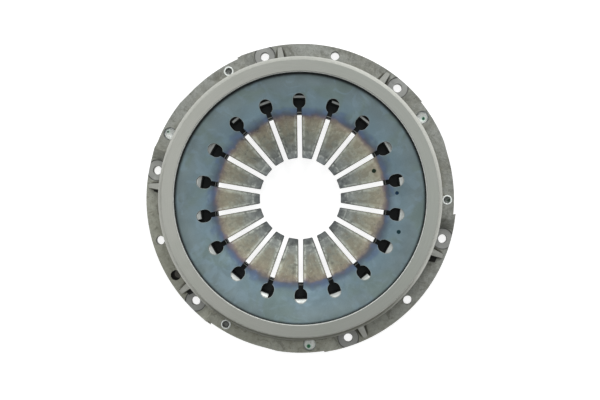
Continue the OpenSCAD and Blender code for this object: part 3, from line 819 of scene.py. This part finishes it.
def around(name, form, count, first, out, finish):
    """A piece of count copies of a form, the first of them turned by first."""
    piece = linked(name, mesh_of(name, form))
    copies = piece.modifiers.new("copies", "NODES")
    copies.node_group = REPEAT
    for socket, value in (("Count", count), ("First turn", first), ("Distance out", out),
                          ("Weld", WELD), ("Finish", finish)):
        copies[REPEAT_SOCKETS[socket]] = value
    settled(piece)
    piece.data.set_sharp_from_angle(angle=SMOOTH_TURN)
    face_out(piece)
    return piece


def face_out(piece):
    form = bmesh.new()
    form.from_mesh(piece.data)
    bmesh.ops.recalc_face_normals(form, faces=form.faces)
    form.to_mesh(piece.data)
    form.free()


# One finger of the spring

def finger_edge():
    """Outline of half a finger, from its tip along the slot and round the window to its far side.

    The slot's middle line is the x axis. Points are closer together at the bend.
    """
    tip = [(38.6, 3.2), (38.72, 2.7), (39.05, 2.33)]
    slot = [39.6, 40.8, 42.4, 43.8, 45.0, 46.2, 49, 53, 58, 63, 68, 73, 78, 82, 84.4]
    flat = tip + [(r, SLOT_HALF / MM) for r in slot]
    points = [Vector((sqrt(r * r - y * y), y)) * MM for r, y in flat]
    first = pi - asin(SLOT_HALF / WINDOW_HALF)
    for middle, start, end, steps in ((WINDOW_INNER, first, pi / 2, 9), (WINDOW_OUTER, pi / 2, 0, 12)):
        for i in range(steps + 1):
            a = start + (end - start) * i / steps
            points.append(Vector((middle + WINDOW_HALF * cos(a), WINDOW_HALF * sin(a))))
    return points


def inset(edge, width):
    """The outline moved into the steel by the width of its chamfer."""
    last = len(edge) - 1
    moved = []
    for i, point in enumerate(edge):
        run = (edge[min(i + 1, last)] - edge[max(i - 1, 0)]).normalized()
        inward = Vector((1, 0)) if i == last else Vector((-run.y, run.x))
        moved.append(point + inward * width)
    moved[0] = edge[0] * (1 + width / edge[0].length)
    return moved


def polar(point):
    return point.length, atan2(point.y, point.x)


def spread(first):
    """Even steps from the turn first to the finger's middle line. The slot's middle line is 0."""
    return [first + (FINGER_STEP / 2 - first) * k / FINGER_COLUMNS for k in range(FINGER_COLUMNS + 1)]


def finger_corner(form, r, turn, drop, lift=0.0):
    """A vertex on the upper face, or on the lower one where drop is 1, moved up by lift."""
    a = turn - FINGER_STEP / 2
    return form.verts.new((r * cos(a), r * sin(a), spring_top(r) - drop * spring_rise(r) + lift))


def join_rows(form, one, other):
    for a, b, c, d in zip(one, one[1:], other[1:], other):
        form.faces.new((a, b, c, d))


def close_side(form, way, top, under):
    """Joins the two faces along a way by a chamfer, a wall and the other chamfer."""
    wall_top = [finger_corner(form, r, a, 0, -FINGER_CHAMFER) for r, a in way]
    wall_under = [finger_corner(form, r, a, 1, FINGER_CHAMFER) for r, a in way]
    for one, other in ((top, wall_top), (wall_top, wall_under), (wall_under, under)):
        join_rows(form, one, other)


def finger_form():
    """A finger and its share of the rim, with the finger's middle line on the x axis."""
    edge = finger_edge()
    rim = [WINDOW_OUTER + WINDOW_HALF + step * MM for step in RIM_STEPS] + [SPRING_R - FINGER_CHAMFER]
    starts = [polar(point) for point in inset(edge, FINGER_CHAMFER)] + [(r, 0.0) for r in rim]
    form = bmesh.new()
    top, under = [[[finger_corner(form, r, a, drop) for a in spread(first)] for r, first in starts]
                  for drop in (0, 1)]
    for rows in (top, under):
        for one, other in zip(rows, rows[1:]):
            join_rows(form, one, other)
    tip_r, tip_turn = polar(edge[0])
    way = [(tip_r, a) for a in spread(tip_turn)[:0:-1]] + [polar(point) for point in edge]
    ways = [rows[0][:0:-1] + [row[0] for row in rows[:len(edge)]] for rows in (top, under)]
    close_side(form, way, *ways)
    close_side(form, [(SPRING_R, a) for a in spread(0.0)], top[-1], under[-1])
    whole = form.verts[:] + form.edges[:] + form.faces[:]
    bmesh.ops.mirror(form, geom=whole, matrix=Matrix.Identity(4), merge_dist=WELD, axis="Y")
    bmesh.ops.remove_doubles(form, verts=form.verts, dist=WELD)
    bmesh.ops.recalc_face_normals(form, faces=form.faces)
    return form


# Rivets and washers

def cover_rivet_form():
    """A semi-tubular rivet: low head, shank, and a hollow end rolled over by the press."""
    head = [(0, 13.5), (5.9, 13.5), (6.35, 13.62), (6.5, 13.95), (6.5, 15.55), (6.35, 15.7), (4.0, 15.7)]
    roll = [(4.0, 24.5), (4.45, 24.52), (4.68, 24.72), (4.7, 24.98), (4.6, 25.28), (4.38, 25.52),
            (4.08, 25.66), (3.76, 25.68), (3.48, 25.54), (3.28, 25.26), (3.2, 24.9)]
    bore = [(3.2, 20.3), (3.05, 19.95), (2.7, 19.75), (0, 19.2)]
    form = lathe(head + roll + bore)
    ragged_z, crest = 25.1 * MM, 0.6 * MM
    for vert in form.verts:
        if vert.co.z > ragged_z:
            a = atan2(vert.co.y, vert.co.x)
            share = (vert.co.z - ragged_z) / crest
            vert.co.z -= share * 0.07 * MM * (2 + sin(3 * a + 1) + sin(7 * a))
    return form


def lug_rivet_form():
    """A solid rivet: flat head on the strap pack, closed end on the lug."""
    return lathe([(0, 3.8), (5.5, 3.8), (5.95, 3.95), (6.2, 4.4), (6.2, 5.8), (6.05, 6.0), (4.0, 6.0),
                  (4.0, 14.1), (5.35, 14.1), (5.5, 14.25), (5.5, 15.95), (5.42, 16.25), (5.2, 16.42),
                  (4.9, 16.5), (2.6, 16.5), (2.3, 16.42), (0, 16.36)])


def washer_form():
    low, high, bore, rim, edge = 15.7, 16.9, 4.2, 7.2, 0.15
    return lathe([(bore, low + edge), (bore + edge, low), (rim - edge, low), (rim, low + edge),
                  (rim, high - edge), (rim - edge, high), (bore + edge, high), (bore, high - edge)])


# Pieces

def dress(piece, finish, slot, *nodes, body=None):
    piece.data.materials.clear()
    piece.data.materials.append(finish)
    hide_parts(*nodes)
    if body:
        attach(piece, body)
    return piece


def make_cover():
    piece = rounded(welded("cast_cover", ["cover"]), 0.45 * MM)
    dress(piece, cast_cover(), "cast_iron_cover", "cover", body="cover_body")


def make_spring():
    finish = tempered_spring()
    piece = around("slotted_spring", finger_form(), FINGERS, FIRST_SLOT + FINGER_STEP / 2, 0.0, finish)
    dress(piece, finish, "tempered_spring", "diaphragm_spring", body="cover_body")
    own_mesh(piece)


def make_plate():
    piece = rounded(welded("turned_plate", ["pressure_plate"]), 0.4 * MM)
    dress(piece, plate_iron(), "cast_iron_plate", "pressure_plate", body="plate_body")


def make_straps():
    finish = strap_steel()
    for k in range(GROUPS):
        names = [f"strap_{k + 1}_{level}" for level in ("upper", "middle", "lower")]
        piece = dress(welded(f"strap_pack_{k + 1}", names), finish, "strap_steel", *names)
        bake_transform(piece)


def make_rivets():
    cover_end, lug_end = STRAP_DIR - STRAP_TURN, STRAP_DIR + STRAP_TURN
    painted = zinc("zinc_rivet", PAINT_ON_RIVETS)
    plain = zinc("zinc_washer")
    for name, form, turn, finish, slot, body in (
            ("cover_rivet", cover_rivet_form(), cover_end, painted, "zinc_rivet", "cover_body"),
            ("lug_rivet", lug_rivet_form(), lug_end, painted, "zinc_rivet", "plate_body"),
            ("strap_washer", washer_form(), cover_end, plain, "zinc_washer", "cover_body")):
        piece = around(name + "s", form, GROUPS, turn, STRAP_R, finish)
        nodes = [f"{name}_{k}" for k in range(1, GROUPS + 1)]
        dress(piece, finish, slot, *nodes, body=body)


def make_wire():
    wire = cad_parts["fulcrum_ring"]
    wire.data.materials.clear()
    wire.data.materials.append(drawn_wire())


# Stage

PICTURE_WIDTH = 600
# Width of one pixel at the flange
PIXEL = 0.9665 * MM
# Pixels from the middle of the flange to the middle of the picture, to the right and up
PICTURE_MIDDLE = (-0.75, -1.4)
# How far the camera leans to the right and up, for 1 away from the part
CAMERA_LEAN = (0.0277, -0.0083)
CAMERA_FAR = 1.1
SENSOR = 36

# Brightness of the tent's walls, ceiling and opening
WALLS = 0.75
CEILING = 0.32
OPENING = 0.16

# Each light's name, then its place to the right, up the picture and above the floor, size and power
LIGHTS = (
    ("top_light", 0.25, 1.3, 1.7, 0.8, 13),
    ("left_light", -1.9, -0.3, 1.0, 1.4, 4),
    ("ceiling_light", 0.0, 0.1, 2.4, 1.4, 9),
)


def photo_axes():
    """The directions of the photo in the part's frame: right, up, and toward the camera."""
    right = Vector((cos(PHOTO_RIGHT), sin(PHOTO_RIGHT), 0))
    up = Vector((-sin(PHOTO_RIGHT), cos(PHOTO_RIGHT), 0))
    return right, up, Vector((0, 0, 1))


def make_camera(right, up, above):
    away = (CAMERA_LEAN[0] * right + CAMERA_LEAN[1] * up + above).normalized()
    target = above * PAD_T + (PICTURE_MIDDLE[0] * right + PICTURE_MIDDLE[1] * up) * PIXEL
    side = up.cross(away).normalized()
    data = bpy.data.cameras.new("photo_camera")
    data.sensor_width = SENSOR
    data.lens = SENSOR * CAMERA_FAR / (PICTURE_WIDTH * PIXEL)
    camera = linked("photo_camera", data)
    turn = Matrix((side, away.cross(side), away)).transposed()
    camera.matrix_world = Matrix.Translation(target + away * CAMERA_FAR) @ turn.to_4x4()
    bpy.context.scene.camera = camera


def make_light(name, place, size, power):
    data = bpy.data.lights.new(name, "AREA")
    data.shape = "DISK"
    data.size = size
    data.energy = power
    lamp = linked(name, data)
    lamp.matrix_world = Matrix.Translation(place) @ (-place).to_track_quat("-Z", "Y").to_matrix().to_4x4()


def make_room(up):
    """A white tent: bright walls, a dimmer ceiling, and its dark opening below the picture."""
    world = bpy.data.worlds.new("white_tent")
    world.use_nodes = True
    w = Nodes(world.node_tree)
    x, y, z = w.split(w.node("ShaderNodeTexCoord", out="Generated"))
    level = w.maths("SQRT", w.most(1 - z * z, 0.0001))
    toward_top = (x * up.x + y * up.y) / level
    wall_light = OPENING + w.step(toward_top, -0.95, 0.6) * (WALLS - OPENING)
    bright = CEILING + w.step(z, 0.95, 0.55) * (wall_light - CEILING)
    room = w.node("ShaderNodeBackground", {}, {"Color": (0.96, 0.98, 1, 1), "Strength": bright})
    w.node("ShaderNodeOutputWorld", {}, {0: room})
    bpy.context.scene.world = world


def make_stage():
    right, up, above = photo_axes()
    make_camera(right, up, above)
    bpy.ops.mesh.primitive_plane_add(size=6, location=(0, 0, 0))
    floor = bpy.context.object
    floor.name = "pale_floor"
    floor.data.materials.append(pale_floor())
    for name, x, y, z, size, power in LIGHTS:
        make_light(name, right * x + up * y + above * z, size, power)
    make_room(up)
    bpy.context.scene.view_settings.view_transform = "Standard"


REPEAT, REPEAT_SOCKETS = repeat_tree()
make_cover()
make_spring()
make_plate()
make_straps()
make_rivets()
make_wire()
make_stage()
